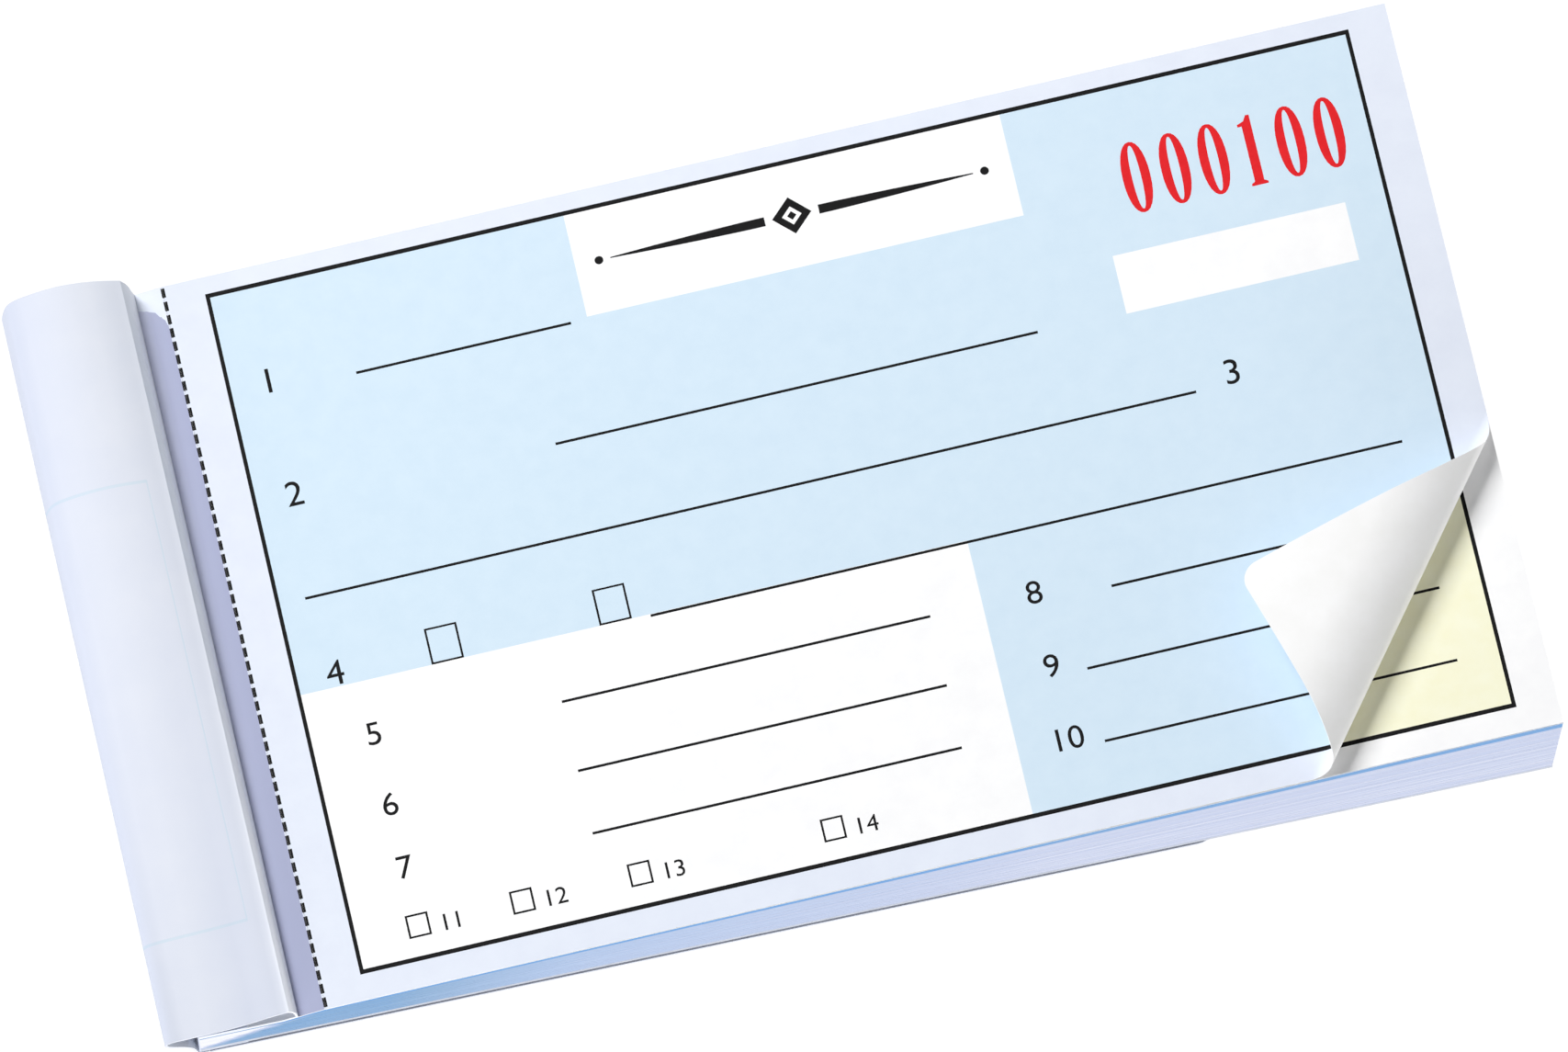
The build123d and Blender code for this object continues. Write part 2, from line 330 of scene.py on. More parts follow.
def to_thin_mesh(piece):
    """Makes a curve or text a closed mesh with its place in its points."""
    pick(piece)
    bpy.ops.object.convert(target="MESH")
    piece = bpy.context.object
    bpy.ops.object.transform_apply(location=True, rotation=True, scale=True)
    bpy.ops.object.mode_set(mode="EDIT")
    bpy.ops.mesh.select_all(action="SELECT")
    bpy.ops.mesh.remove_doubles(threshold=0.0002)
    bpy.ops.mesh.normals_make_consistent(inside=False)
    bpy.ops.object.mode_set(mode="OBJECT")
    return piece


def oval(cx, cy, rx, ry, steps=28, squareness=1.0):
    """Points round an oval; a squareness under 1 fills its shoulders."""
    turns = [2 * math.pi * step / steps for step in range(steps)]

    def fuller(value):
        return math.copysign(abs(value) ** squareness, value)

    return [(cx + rx * fuller(math.cos(t)), cy + ry * fuller(math.sin(t))) for t in turns]


def stamped_number(digits, x, y):
    """Tall figures for a numbering machine, with noughts and ones only."""
    outlines = []
    for place, digit in enumerate(digits):
        left = x + DIGIT_PITCH * place
        if digit == "0":
            outlines.append(oval(left + 1.35, y + 3.6, 1.32, 3.68, squareness=0.92))
            outlines.append(oval(left + 1.35, y + 3.6, 0.44, 3.3, squareness=0.92))
        else:
            stem = [(0.55, 0), (2.15, 0), (2.15, 0.22), (1.8, 0.42), (1.8, 7.25), (1.45, 7.25)]
            stem += [(1.15, 6.7), (0.5, 6.45), (0.5, 6.2), (0.9, 6.2), (0.9, 0.42), (0.55, 0.22)]
            outlines.append([(left + px, y + py) for px, py in stem])
    return flat_ink("stamped_number", outlines, red_ink)


def heading_ornament():
    """A swelled rule, thick in the middle and fine at the ends, with a diamond and two beads."""
    cx, cy, near, far = 59.2, 30.05, 2.6, 17.5
    outlines = []
    for side in (-1, 1):
        edge = [(near + (far - near) * i / 12) for i in range(13)]
        swell = [0.42 * (1 - ((x - near) / (far - near)) ** 1.6) + 0.05 for x in edge]
        rule = [(cx + side * x, cy + h) for x, h in zip(edge, swell)]
        rule += [(cx + side * x, cy - h) for x, h in reversed(list(zip(edge, swell)))]
        outlines.append(rule)
        outlines.append(oval(cx + side * (far + 1.1), cy, 0.42, 0.42, 16))
    for size in (1.9, 0.95, 0.45):
        outlines.append([(cx - size, cy), (cx, cy + size), (cx + size, cy), (cx, cy - size)])
    return flat_ink("heading_ornament", outlines, black_ink_and_slit_shade)


def painted_slit_shade():
    """The perforation's slits along the edge of a leaf, as dashes of ink that paint the shade inside
    them.
    """
    dashes = []
    for count in range(slit_count):
        near = first_slit + count * (SLIT + TIE)
        far = near + SLIT
        dashes.append([(SLIT_SHADE_START, near), (SLIT_SHADE_END, near), (SLIT_SHADE_END, far), (SLIT_SHADE_START, far)])
    return flat_ink("perforation_painted_slit_shade", dashes, black_ink_and_slit_shade)


NUMERALS = [
    ("1", 6.9, 24.45, 3.6), ("2", 6.9, 12.65, 3.6), ("3", 95.0, 3.2, 3.6), ("4", 6.9, -6.0, 3.6),
    ("5", 9.2, -12.75, 3.3), ("6", 9.2, -20.05, 3.3), ("7", 9.2, -26.55, 3.3),
    ("8", 72.2, -13.95, 3.3), ("9", 72.2, -21.55, 3.3), ("10", 71.2, -29.05, 3.3),
    ("11", 12.0, -32.55, 2.4), ("12", 21.9, -32.55, 2.4),
    ("13", 33.2, -32.55, 2.4), ("14", 51.6, -32.55, 2.4),
]
STAMP_AT = (90.2, 22.3)

# %% [markdown]
# ## Sheets that carry the form
# A sheet starts as a plane. It is bisected along the print, and on the top original also along lines
# across the corner that curls. Then every point is carried from the flat layout to its place on the
# leaf. The curl is a roll of the sheet round a slanting pencil: past the line where it leaves the pile,
# a point travels round a tight circle, then along wider and wider ones until it has turned over.
# Bending the finished print this way keeps every printed line true, which a sculpted corner would not.

# %% Build a printed sheet
CURL_FREE, CURL_NEAR = 32.35, 24.25
BENDS = [(1.6, math.radians(128)), (8.0, math.radians(175)), (48.0, math.inf)]
CURL_CUTS, FINE_CUTS = 62, 30
FINE_STEP, FINE_REACH, WIDE_STEP = 0.12, 3.6, 0.5
SHEET_CORNER, CORNER_CUTS = 2.0, 7
span = math.hypot(CURL_FREE, CURL_NEAR)
TO_FREE, TO_NEAR = CURL_FREE / span, CURL_NEAR / span
REACH = CURL_NEAR * TO_FREE


def curled(along, across, above, length):
    """Where a point of the flat top leaf goes when its near free corner curls over."""
    past = REACH - (length - along) * TO_FREE - (across + HALF) * TO_NEAR
    if past <= 0:
        return along, across, above
    out, up, turned, left = 0.0, above, 0.0, past
    for radius, limit in BENDS:
        turn = min(turned + left / radius, limit)
        out += (radius - above) * (math.sin(turn) - math.sin(turned))
        up += (radius - above) * (math.cos(turned) - math.cos(turn))
        left -= radius * (turn - turned)
        turned = turn
    return along + (out - past) * TO_FREE, across - (out - past) * TO_NEAR, up


def lay_on_leaf(piece, number, length, start, curl):
    """Carries a flat layout's points to the leaf of that number, in metres."""
    for point in piece.data.vertices:
        place = tuple(point.co)
        if curl:
            place = curled(*place, length)
        point.co = on_leaf(number, *place, start)
    piece.data.update()


def bisect_all(x, y, nx, ny, clear=False):
    """Cuts the whole layout along one upright plane."""
    bpy.ops.mesh.select_all(action="SELECT")
    bpy.ops.mesh.bisect(plane_co=(x, y, 0), plane_no=(nx, ny, 0), threshold=0.0005, clear_outer=clear)


def round_corner(end, side, radius):
    """Cuts the corner of a layout round at its free end, on the near (-1) or far (1) side."""
    for step in range(CORNER_CUTS):
        slant = math.radians(90 * (step + 0.5) / CORNER_CUTS)
        nx, ny = math.sin(slant), side * math.cos(slant)
        bisect_all(end - radius + radius * nx, side * (HALF - radius) + radius * ny, nx, ny, clear=True)


def printed_sheet(name, number, tint, start, curl=False, stamp="000100"):
    """One leaf with the form printed on its top face."""
    perforated = tint is blue_tint
    length = leaf_frame(number, start)[3]
    bpy.ops.object.select_all(action="DESELECT")
    bpy.ops.mesh.primitive_plane_add(size=1, location=(length / 2, 0, PAPER))
    sheet = bpy.context.object
    sheet.name = name
    sheet.scale = (length, 2 * HALF, 1)
    bpy.ops.object.transform_apply(location=True, rotation=True, scale=True)
    bpy.ops.object.mode_set(mode="EDIT")
    for x in sorted({round(edge, 4) for area in FORM for edge in area[1:3]}):
        bisect_all(x, 0, 1, 0)
    for y in sorted({round(edge, 4) for area in FORM for edge in area[3:5]}):
        bisect_all(0, y, 0, 1)
    if curl:
        for step in range(CURL_CUTS):
            wide = FINE_REACH + WIDE_STEP * (step - FINE_CUTS)
            back = REACH - (FINE_STEP * step if step < FINE_CUTS else wide)
            bisect_all(length - back * TO_FREE, back * TO_NEAR - HALF, TO_FREE, -TO_NEAR)
        round_corner(length, -1, SHEET_CORNER)
    bpy.ops.object.mode_set(mode="OBJECT")
    inks = {"paper": bond_paper if perforated else bare_panel}
    inks.update(tint=tint, panel=bare_panel, ink=black_ink_and_slit_shade, back=sheet_back)
    for material in inks.values():
        sheet.data.materials.append(material)
    order = list(inks)
    for face in sheet.data.polygons:
        x, y, z = face.center
        cover = [area[0] for area in FORM if area[1] < x < area[2] and area[3] < y < area[4]]
        face.material_index = order.index(cover[-1] if cover else "paper")
    lay_on_leaf(sheet, number, length, start, curl)
    apply_modifier(
        sheet, "SOLIDIFY", thickness=PAPER * MM, offset=-1, use_even_offset=True,
        material_offset=len(order), material_offset_rim=len(order),
    )
    marks = [plain_numeral(words, x, y, size, black_ink_and_slit_shade) for words, x, y, size in NUMERALS]
    marks += [stamped_number(stamp, *STAMP_AT), heading_ornament()]
    if perforated:
        marks.append(painted_slit_shade())
    for mark in marks:
        lay_on_leaf(mark, number, length, start, False)
    pick(sheet, *marks)
    bpy.ops.object.join()
    pick(sheet)
    bpy.ops.object.shade_smooth_by_angle(angle=math.radians(25))
    print(name, "faces:", len(sheet.data.polygons))
    return sheet


original = printed_sheet("original_receipt", TOP, blue_tint, LEAF_START, curl=True)
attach(original, "original_leaf")
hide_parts("original_01_leaf")
duplicate = printed_sheet("duplicate_receipt", TOP - 1, yellow_tint, LEAF_START)
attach(duplicate, "duplicate_leaf")
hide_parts("duplicate_01_leaf")
following = printed_sheet("next_original_receipt", TOP - 2, blue_tint, PERFORATION, stamp="000101")
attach(following, "book")

# %% [markdown]
# ## Bound margins and the perforation
# Behind the perforation a strip of each sheet stays in the binding. The strip is cut across at every
# slit, and the small faces at its edge take the same painted slit shade in ink as the marks on the leaf
# beside them. The copy's strip takes this painted slit shade as well, which shows in the crease. The
# original's strip lies in the gutter beside the roll, and the roll's shadow there is painted into its
# colour as painted shade: in full at the near end, and weaker at the far end next to the roll, where the
# rendered shadow already falls. In the far corner the strip is left without painted shade, and this
# patch ends in a quarter of an oval, the painted edge of the shadow. The original's strip ends just
# before the perforation and the copy's just after it, and both leaves start a little further on, so that
# nothing touches when they turn. The slots of a strip end with the paper's back, so its lower face and
# cut edges, which are told to take a slot past the last one, take that.

# %% Build the bound margins
GUTTER = 9.4
# How strongly the roll's shadow is painted at the far end, from next to the roll to the perforation.
GUTTER_SHADE_AT, GUTTER_SHADE_FAR = [GUTTER, 10.5, 11.9], [0.1, 0.8, 1.0]
# The far-corner patch without painted shade lies outside a quarter of an oval, the painted edge of the
# roll's shadow.
OVAL_Y, OVAL_WIDE, OVAL_TALL, OVAL_CUTS = 32.0, 2.65, 3.6, 8
UNSHADED_FROM = 1.02
# How wide the painted slit shade is at the end of each strip.
ORIGINAL_SHORT, ORIGINAL_SLIT_SHADE = 0.03, 0.08
COPY_OVER, COPY_SLIT_SHADE = 0.05, 0.12


def bound_margin(name, number, end, mark):
    """A sheet's strip from the spine to the perforation, with painted slit shade this wide at each slit
    and painted shade of the roll in the gutter.
    """
    bpy.ops.object.select_all(action="DESELECT")
    bpy.ops.mesh.primitive_plane_add(size=1, location=(end / 2, 0, PAPER))
    strip = bpy.context.object
    strip.name = name
    strip.scale = (end, 2 * HALF, 1)
    bpy.ops.object.transform_apply(location=True, rotation=True, scale=True)
    bpy.ops.object.mode_set(mode="EDIT")
    edge = end - mark
    for x in (PRESSED, *GUTTER_SHADE_AT[:2], edge):
        bisect_all(x, 0, 1, 0)
    for count in range(slit_count):
        near = first_slit + count * (SLIT + TIE)
        bisect_all(0, near, 0, 1)
        bisect_all(0, near + SLIT, 0, 1)
    for step in range(OVAL_CUTS):
        turn = math.radians(90 * (step + 0.5) / OVAL_CUTS)
        out, up = math.sin(turn), math.cos(turn)
        bisect_all(GUTTER + OVAL_WIDE * out, OVAL_Y + OVAL_TALL * up, out / OVAL_WIDE, up / OVAL_TALL)
    bpy.ops.object.mode_set(mode="OBJECT")
    papers = (gutter_painted_shade_paper, bond_paper, black_ink_and_slit_shade, sheet_back)
    for material in papers:
        strip.data.materials.append(material)
    for face in strip.data.polygons:
        x, y, z = face.center
        # Faces at a slit take the ink of painted slit shade; the rest takes the gutter's painted shade,
        # except the far-corner patch beyond the oval and the ties past the slits' edge.
        cut = x > edge and (y - first_slit) % (SLIT + TIE) < SLIT and abs(y) < -first_slit
        from_oval = math.hypot(max(x - GUTTER, 0) / OVAL_WIDE, max(y - OVAL_Y, 0) / OVAL_TALL)
        unshaded = from_oval > UNSHADED_FROM or x > edge
        paper = black_ink_and_slit_shade if cut else bond_paper if unshaded else gutter_painted_shade_paper
        face.material_index = papers.index(paper)
    pressed, loose = sheet_line(number)[:2]
    soil_and_painted_shade = strip.data.attributes.new("soil_and_painted_shade", "FLOAT", "POINT")
    # The value is painted shade of the roll: full at the near end, and at the far end as the gutter shade
    # table gives, weakest next to the roll.
    for point in strip.data.vertices:
        x, y, above = point.co
        share = (y + HALF) / (2 * HALF)
        far_end_shade = float(np.interp(x, GUTTER_SHADE_AT, GUTTER_SHADE_FAR))
        soil_and_painted_shade.data[point.index].value = 1 - share + share * far_end_shade
        rise = (loose - pressed) * max(x - PRESSED, 0) / (PERFORATION - PRESSED)
        point.co = Vector((SPINE + x, y, pressed + rise + above)) * MM
    apply_modifier(
        strip, "SOLIDIFY", thickness=PAPER * MM, offset=-1,
        material_offset=len(papers), material_offset_rim=len(papers),
    )
    print(name, "faces:", len(strip.data.polygons))
    return strip


margin = bound_margin("original_bound_margin", TOP, PERFORATION - ORIGINAL_SHORT, ORIGINAL_SLIT_SHADE)
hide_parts("original_01_margin")
copy_margin = bound_margin("duplicate_bound_margin", TOP - 1, PERFORATION + COPY_OVER, COPY_SLIT_SHADE)
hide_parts("duplicate_01_margin")
for strip in (margin, copy_margin):
    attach(strip, "book")

# %% [markdown]
# ## The stack of sheets
# The other forty-eight sheets are one block that shows only its edges. A block that has been used
# is never even: some sheets cling together, some stand apart, and no two are cut or jogged quite alike.
# So each sheet is made in the same way but with its own gap, its own tone, and edges that stand up to a
# few hundredths of a millimetre back. It is drawn swollen to fill the air above it, because a fluffed
# stack shows no daylight. The edges are blue where the coating shows, and white near the spine, where
# padding glue has run in. The bluest tone, in the few sheets under the top set, is partly a painted
# shadow line under the top sheets, and all edge colours are darkened by painted shade of the fine gaps
# between the sheets. The tone is kept as an attribute on the points, which one edge finish reads. The
# finish adds streaks about 17 mm long and a ninth of a millimetre thick, as the guillotine leaves them.

# %% Edge finish of the stacked sheets
STREAKS_PER_METRE = (60, 60, 9000)
edges = bpy.data.materials.new("guillotined_sheet_edges")
edges.use_nodes = True
tree = edges.node_tree
shader = tree.nodes["Principled BSDF"]
place = add_node(tree, "ShaderNodeTexCoord").outputs["Object"]
tone = add_node(tree, "ShaderNodeAttribute", {"attribute_name": "sheet_tone"})
drawn = add_node(tree, "ShaderNodeMapping", {"Scale": STREAKS_PER_METRE}, {"Vector": place})
streak = add_node(
    tree, "ShaderNodeTexNoise", {"Scale": 1.0, "Detail": 3.0}, {"Vector": drawn.outputs["Vector"]}
)
drift = add_node(
    tree, "ShaderNodeMath", {"operation": "MULTIPLY_ADD", 1: 0.2, 2: -0.1}, {0: streak.outputs["Fac"]}
)
total = add_node(
    tree, "ShaderNodeMath", {"operation": "ADD"}, {0: tone.outputs["Fac"], 1: drift.outputs["Value"]}
)
band = add_node(tree, "ShaderNodeValToRGB", None, {"Fac": total.outputs["Value"]})
# The ramp's colours are darkened throughout as painted shade of the fine gaps between the sheets.
blue_to_white = [(0.0, "#70A1D7"), (0.1, "#86A8CB"), (0.45, "#ADC0DF")]
blue_to_white += [(0.75, "#C4CBE2"), (1.0, "#F0F1F7")]
set_ramp(band, blue_to_white)
tree.links.new(band.outputs["Color"], shader.inputs["Base Color"])
shader.inputs["Roughness"].default_value = 0.85
shader.inputs["IOR"].default_value = CELLULOSE_IOR
shader.inputs["Specular IOR Level"].default_value = 0.25

# %% Stack the sheets
GAPS, TONES = (0.8, 0.9, 1.0, 1.1, 1.3), (0.66, 0.7, 0.74, 0.78)
chance = random.Random(7)
gaps = [chance.choice(GAPS) for sheet in range(TOP - 2)]
heaped = np.concatenate([[0.0], np.cumsum(gaps)])
shares = heaped / heaped[-1] * (TOP - 2) / TOP
FILL = 0.985
SET_BACK_END, SET_BACK_SIDE = 0.03, 0.01
FADE_AT, FADE = [18.0, 27.0, 37.0, 80.0], [-0.62, -0.42, -0.24, 0.03]
GLUE_AT, GLUE_REACH, GLUE_TONE = [1.5, 3.0, 4.5, 6.0], 9, 0.9


def stacked_sheet(number):
    """One plain sheet of the block, from the spine to its free edge."""
    pressed, loose, free, end = sheet_line(number, shares[number])
    above = sheet_line(number + 1, shares[min(number + 1, TOP - 2)])
    end = PERFORATION if number == TOP - 2 else end - chance.uniform(0, SET_BACK_END)
    near, far = (HALF - chance.uniform(0, SET_BACK_SIDE) for side in (0, 1))
    bpy.ops.object.select_all(action="DESELECT")
    bpy.ops.mesh.primitive_plane_add(size=1, location=(end / 2, 0, 0))
    sheet = bpy.context.object
    sheet.scale = (end, 2, 1)
    bpy.ops.object.transform_apply(location=True, rotation=True, scale=True)
    bpy.ops.object.mode_set(mode="EDIT")
    for x in (*GLUE_AT, PRESSED, PERFORATION, *FADE_AT):
        bisect_all(x, 0, 1, 0)
    bpy.ops.object.mode_set(mode="OBJECT")
    tones = sheet.data.attributes.new("sheet_tone", "FLOAT", "POINT")
    # The few sheets under the top set take the bluest tone, partly a painted shadow line under the top
    # sheets.
    shade = 0.0 if TOP - 7 < number < TOP - 2 else chance.choice(TONES)
    stations = [0, PRESSED, PERFORATION, LENGTH]
    for point, mark in zip(sheet.data.vertices, tones.data):
        x, y, z = point.co
        height = np.interp(x, stations, [pressed, pressed, loose, free])
        point.co = Vector((SPINE + x, far if y > 0 else -near, float(height))) * MM
        glued = max(0.0, min(1.0, 4 * (number / TOP - x / GLUE_REACH) + 0.5))
        mark.value = shade + float(np.interp(x, FADE_AT, FADE)) + GLUE_TONE * glued
    sheet.data.materials.append(edges)
    rows = len(sheet.data.vertices)
    apply_modifier(sheet, "SOLIDIFY", thickness=PAPER * MM, offset=1)
    for point in sheet.data.vertices[:rows]:
        x = point.co.x / MM - SPINE
        room = np.interp(x, stations, [PAPER, PAPER, above[1] - loose, above[2] - free])
        point.co.z += FILL * max(float(room) - PAPER, 0) * MM
    return sheet


layers = [stacked_sheet(number) for number in range(TOP - 1)]
block = layers[0]
pick(*layers)
bpy.ops.object.join()
block.name = "stacked_receipt_sets"
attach(block, "book")
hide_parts(*[f"receipt_set_{number:02d}" for number in range(2, 26)])
print("stacked sheets:", len(layers), "faces:", len(block.data.polygons))

# %% [markdown]
# ## The turned-back front cover
# The front cover is one sheet of thin card. Its margin is stapled on the stub; at a crease beside the
# perforation it turns up and back to the left, rolls over the spine and goes under the book. The roll
# is open at the far end and nearly flat at the near end. A spin would give a round tube, so the card is
# a grid whose points are laid on a smooth line through the same few places as the frame's cover, at
# both ends, and straight across between them. The card was scored before it was folded, which leaves a
# crisp ridge a millimetre from the crease. A faint ruled frame is printed on the card. The outside of
# the card is darkened by a little soil together with painted shade: most on the outer bend at the far
# end, and towards the ridge at the near end. Its inside has no soil or painted shade.

# %% Card finish
# The darker colours that the card and its rule are mixed towards stand for soil and painted shade.
card = paper_finish(
    "coated_cover_card", "#F0F4FD", "#F5F8FF", 0.6,
    cloud=6.0, tooth=0.45, bump=0.05, specular=0.22, soil_and_shade_colour="#B4BBCE",
)
faint_rule = paper_finish(
    "faint_blue_rule", "#E4F0FA", "#E9F4FC", 0.6,
    cloud=2.0, tooth=0.45, bump=0.05, soil_and_shade_colour="#AAB9CC",
)

# %% Lines of the roll
CREASE = 9.4
OVERHANG = 3.3
PRESSED_TOP = STACK_BOTTOM + SHEETS * PAPER
PERF_TOP = PRESSED_TOP + LOOSE_RISE
HEIGHT_FAR, HEIGHT_NEAR = 5.0, 1.2
FOLD = 0.05
SCORE, BAND_POINTS, ROLL_POINTS = 3, 15, 146
FRAME_NEAR, FRAME_FAR, FRAME_RULE = -27.8, 17.1, 0.3
FRAME_UPRIGHT, TOP_POINTS = 6.6, 60
# Darkening of the card's outside across the roll at the near and far ends: soil together with painted
# shade.
SOIL_AND_SHADE_AT = [-3.3, -2.4, -1.3, 0.8, 2.9, 5.0, 7.6, 8.2, 8.7]
SOIL_AND_SHADE_FAR = [0.75, 0.75, 0.6, 0.48, 0.32, 0.22, 0.26, 0.2, 0.0]
SOIL_AND_SHADE_NEAR = [0.75, 0.6, 0.42, 0.38, 0.5, 0.66, 0.6, 0.45, 0.0]
ROLL_FAR = [(0.98, 0.12), (0.955, 0.4), (0.905, 0.69), (0.8, 0.82), (0.625, 0.97), (0.415, 1.02)]
ROLL_FAR += [(0.185, 0.88), (0.055, 0.65), (0.015, 0.32)]
ROLL_NEAR = [(0.99, 0.19), (0.97, 0.69), (0.935, 1.0), (0.825, 0.82), (0.655, 0.36), (0.455, 0.0)]
ROLL_NEAR += [(0.26, -0.14), (0.12, -0.22), (0.03, -0.35)]
SIDE_FAR = [(0.0, 1.05), (0.01, 0.75), (0.045, 0.45), (0.11, 0.2), (0.19, 0.06)]
SIDE_FAR += [(0.245, 0.005), (0.285, 0.0)]
SIDE_NEAR = [(0.0, 0.805), (0.03, 0.665), (0.11, 0.535), (0.195, 0.34), (0.22, 0.145)]
SIDE_NEAR += [(0.25, 0.01), (0.285, 0.0)]


def roll_points(table, height, side):
    """The places that the outside of the roll passes through at one end."""
    reach = CREASE + OVERHANG
    line = [(CREASE, PRESSED_TOP + LOOSE_RISE * (CREASE - PRESSED) / (PERFORATION - PRESSED))]
    line += [(share * reach - OVERHANG, PERF_TOP + part * height) for share, part in table]
    line += [(share * reach - OVERHANG, FOLD + part * PERF_TOP) for share, part in side]
    return np.array(line)


def smooth_line(marks, points, wanted):
    """A natural cubic spline through the points, read at the wanted marks."""
    gap = np.diff(marks)
    size = len(marks)
    system = np.eye(size)
    right = np.zeros((size, 2))
    for i in range(1, size - 1):
        system[i, i - 1 : i + 2] = gap[i - 1], 2 * (gap[i - 1] + gap[i]), gap[i]
        right[i] = 6 * ((points[i + 1] - points[i]) / gap[i] - (points[i] - points[i - 1]) / gap[i - 1])
    bow = np.linalg.solve(system, right)
    cell = np.clip(np.searchsorted(marks, wanted) - 1, 0, size - 2)
    h = gap[cell][:, None]
    a = (marks[cell + 1] - wanted)[:, None]
    b = (wanted - marks[cell])[:, None]
    line = bow[cell] * a**3 / (6 * h) + bow[cell + 1] * b**3 / (6 * h)
    line += (points[cell] / h - bow[cell] * h / 6) * a
    return line + (points[cell + 1] / h - bow[cell + 1] * h / 6) * b


far_points = roll_points(ROLL_FAR, HEIGHT_FAR, SIDE_FAR)
near_points = roll_points(ROLL_NEAR, HEIGHT_NEAR, SIDE_NEAR)
steps = np.linalg.norm(np.diff(far_points, axis=0), axis=1)
steps = steps + np.linalg.norm(np.diff(near_points, axis=0), axis=1)
marks = np.concatenate([[0.0], np.cumsum(steps)])
marks = marks / marks[-1]
up_to_score = np.linspace(0, marks[SCORE], BAND_POINTS)
past_score = np.linspace(marks[SCORE], 1, ROLL_POINTS)[1:]


def scored_line(points):
    """A smooth line up to the score and another beyond it, with a crisp ridge between them."""
    band = smooth_line(marks[: SCORE + 1], points[: SCORE + 1], up_to_score)
    return np.concatenate([band, smooth_line(marks[SCORE:], points[SCORE:], past_score)])


far_line, near_line = scored_line(far_points), scored_line(near_points)
middle_x = (far_line[:TOP_POINTS, 0] + near_line[:TOP_POINTS, 0]) / 2
frame_step = int(np.argmin(np.abs(middle_x - FRAME_UPRIGHT)))
flat_part = [(0.0, PRESSED_TOP), (4.0, PRESSED_TOP), (PRESSED, PRESSED_TOP), (8.7, PRESSED_TOP + 0.14)]
last_part = [(0.55, FOLD), (0.8, FOLD)]
far_line = np.concatenate([flat_part, far_line, last_part])
near_line = np.concatenate([flat_part, near_line, last_part])
frame_step += len(flat_part)
frame_lines = [FRAME_NEAR, FRAME_NEAR + FRAME_RULE, FRAME_FAR - FRAME_RULE, FRAME_FAR]
across = sorted({-HALF, HALF, *frame_lines} | {float(y) for y in range(-35, 36, 5)})


def on_level_rule(y):
    """Whether this place lies in one of the two level rules of the printed frame."""
    return frame_lines[0] < y < frame_lines[1] or frame_lines[2] < y < frame_lines[3]


# %% Build the rolled cover
bpy.ops.object.select_all(action="DESELECT")
columns, stations = len(far_line), len(across)
bpy.ops.mesh.primitive_grid_add(x_subdivisions=columns - 1, y_subdivisions=stations - 1, size=1)
roll = bpy.context.object
roll.name = "turned_back_cover"
roll.data.materials.append(card)
roll.data.materials.append(faint_rule)
soil_and_painted_shade = roll.data.attributes.new("soil_and_painted_shade", "FLOAT", "POINT")
where = {}
for point in roll.data.vertices:
    column, row = (point.co.x + 0.5) * (columns - 1), (point.co.y + 0.5) * (stations - 1)
    where[point.index] = (round(column), round(row))
for face in roll.data.polygons:
    column = min(where[i][0] for i in face.vertices)
    y = sum(across[where[i][1]] for i in face.vertices) / 4
    upright = column == frame_step and FRAME_NEAR < y < FRAME_FAR
    level = column > frame_step and on_level_rule(y)
    face.material_index = 1 if upright or level else 0
for point in roll.data.vertices:
    column, row = where[point.index]
    share = (across[row] + HALF) / (2 * HALF)
    x, z = near_line[column] * (1 - share) + far_line[column] * share
    point.co = Vector((SPINE + x, across[row], z)) * MM
    soil_and_shade = np.interp(x, SOIL_AND_SHADE_AT, SOIL_AND_SHADE_NEAR) * (1 - share) + np.interp(x, SOIL_AND_SHADE_AT, SOIL_AND_SHADE_FAR) * share
    soil_and_painted_shade.data[point.index].value = float(soil_and_shade)
roll.data.update()
print("roll line points:", columns, "stations across:", stations)
pick(roll)
# The line runs from right to left over the roll, so the grid's faces point inwards until they are turned.
bpy.ops.object.mode_set(mode="EDIT")
bpy.ops.mesh.select_all(action="SELECT")
bpy.ops.mesh.flip_normals()
bpy.ops.object.mode_set(mode="OBJECT")
outside = len(roll.data.vertices)
apply_modifier(roll, "SOLIDIFY", thickness=CARD * MM, offset=-1)
for mark in roll.data.attributes["soil_and_painted_shade"].data[outside:]:
    mark.value = 0.0
pick(roll)
bpy.ops.object.shade_smooth_by_angle(angle=math.radians(22))
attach(roll, "book")
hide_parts("front_cover")
print("rolled cover faces:", len(roll.data.polygons))

# %% [markdown]
# ## The flap under the book
# The rest of the card lies under the book and swings out to the left on its fold. It is the same sheet,
# so its lower face carries on the faint frame, which closes near the free edge. Its two free corners
# are cut round, as on most pads.

# %% Build the flap
FRAME_TO_EDGE, FLAP_CORNER = 9.0, 3.0
SOIL_FOLD, SOIL_EDGE = 0.55, 0.4
flap_low, flap_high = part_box("front_cover_flap")
start_x, end_x = flap_low.x / MM, flap_high.x / MM
bpy.ops.object.select_all(action="DESELECT")
bpy.ops.mesh.primitive_plane_add(size=1, location=((start_x + end_x) / 2, 0, 0))
flap = bpy.context.object
flap.name = "cover_flap_card"
flap.scale = (end_x - start_x, 2 * HALF, 1)
bpy.ops.object.transform_apply(location=True, rotation=True, scale=True)
bpy.ops.object.mode_set(mode="EDIT")
frame_end = end_x - FRAME_TO_EDGE
frame_start = frame_end - FRAME_RULE
for x in (frame_start, frame_end):
    bisect_all(x, 0, 1, 0)
for y in frame_lines:
    bisect_all(0, y, 0, 1)
for side in (-1, 1):
    round_corner(end_x, side, FLAP_CORNER)
bpy.ops.mesh.select_all(action="SELECT")
